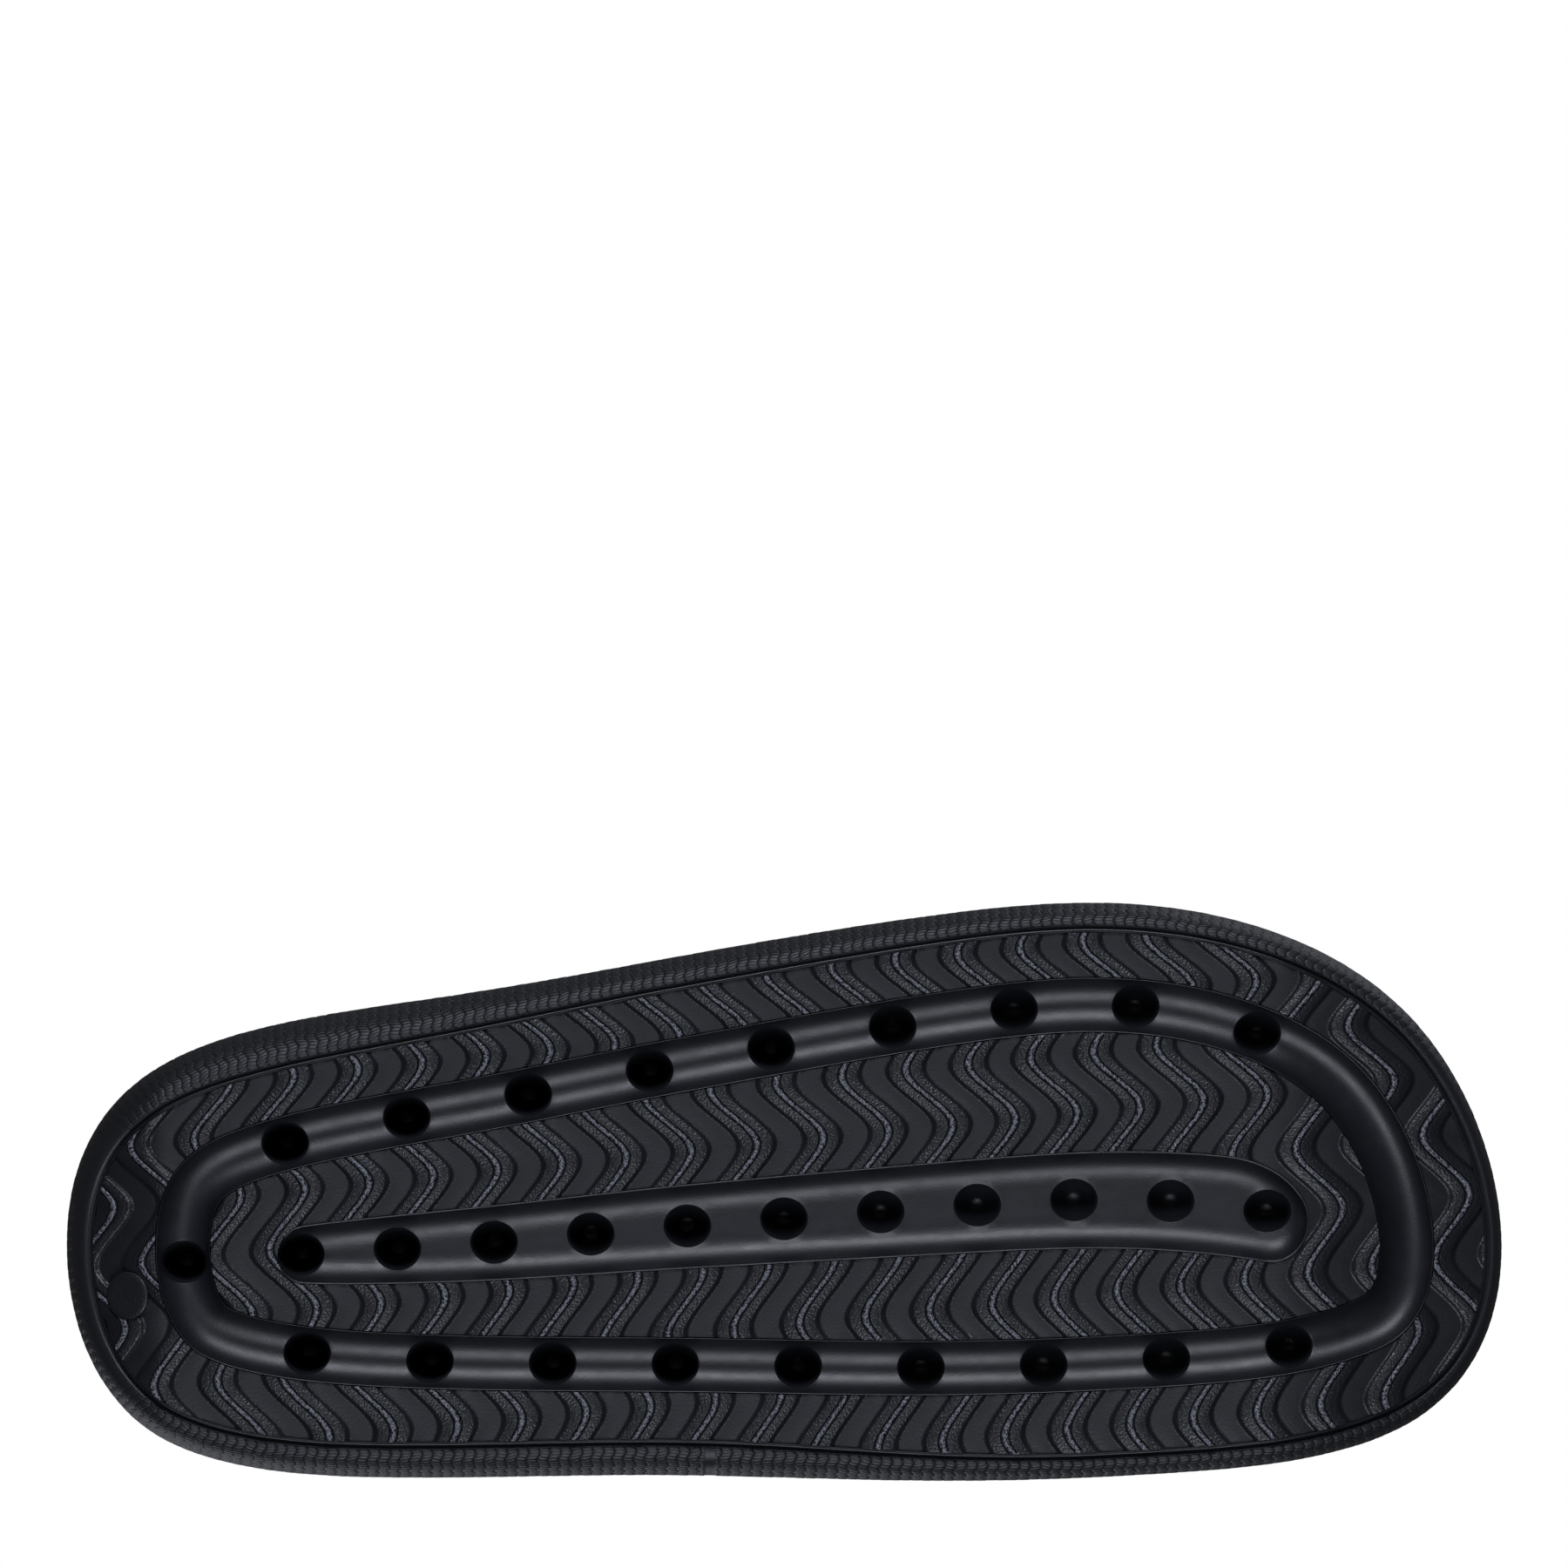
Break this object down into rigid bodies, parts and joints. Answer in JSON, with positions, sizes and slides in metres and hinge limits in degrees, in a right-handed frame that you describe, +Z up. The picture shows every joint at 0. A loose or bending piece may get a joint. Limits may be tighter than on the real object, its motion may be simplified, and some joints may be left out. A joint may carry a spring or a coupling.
{
  "type": "cushioned sole unit",
  "caption": "Right-foot cushioned sole unit: foam midsole with moulded gutters and blind core holes, wave-ribbed tread panels, textured side band, dished insole.",
  "frame": {"origin": "on the ground, below the middle of the sole's box", "axes": "+X from heel to toe, +Y to the inner (medial) side of the foot, +Z up to the insole"},
  "size_m": [0.27, 0.1084, 0.044],
  "materials": {
    "moulded_foam": "satin moulded foam skin",
    "embossed_band": "woven-textured matte band",
    "tread_rubber": "fine matte moulded texture",
    "cushion_foam": "open-cell foam, dull",
    "cover_textile": "fine knitted top sheet, dull"
  },
  "bodies": {
    "root": {"midsole": "moulded_foam", "sidewall_band": "embossed_band", "outer_tread": "tread_rubber", "inner_tread": "tread_rubber", "heel_disc": "tread_rubber", "insole_cushion": "cushion_foam", "insole_cover": "cover_textile"}
  },
  "joints": []
}
